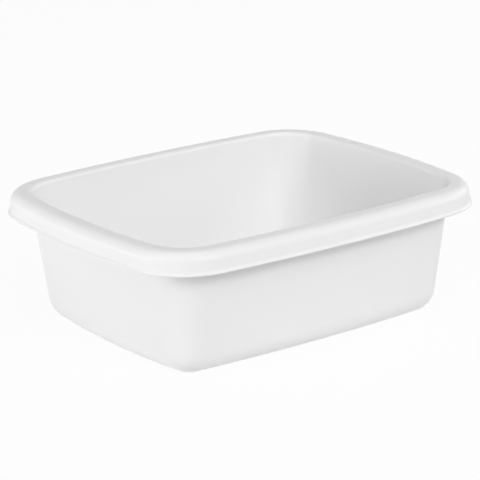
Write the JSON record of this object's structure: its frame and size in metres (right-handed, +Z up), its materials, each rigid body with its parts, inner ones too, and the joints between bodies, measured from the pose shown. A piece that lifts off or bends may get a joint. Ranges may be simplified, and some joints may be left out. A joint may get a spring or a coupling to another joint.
{
  "type": "washing up bowl",
  "caption": "Rectangular washing up bowl with bowed drafted walls, a rounded foot and a wide turned-over rim to lift it by.",
  "frame": {"origin": "middle of the foot, on the surface that the bowl stands on", "axes": "+X along the length, +Y along the width towards the back, +Z up through the open mouth"},
  "size_m": [0.38, 0.309, 0.125],
  "materials": {
    "white_plastic": "smooth moulded polypropylene with a soft satin gloss"
  },
  "bodies": {
    "root": {"floor_panel": "white_plastic", "base_curve": "white_plastic", "tub_wall": "white_plastic", "rim_crest": "white_plastic", "rim_shoulder": "white_plastic", "rim_skirt": "white_plastic", "rim_lip": "white_plastic", "stacking_ribs": "white_plastic"}
  },
  "joints": []
}
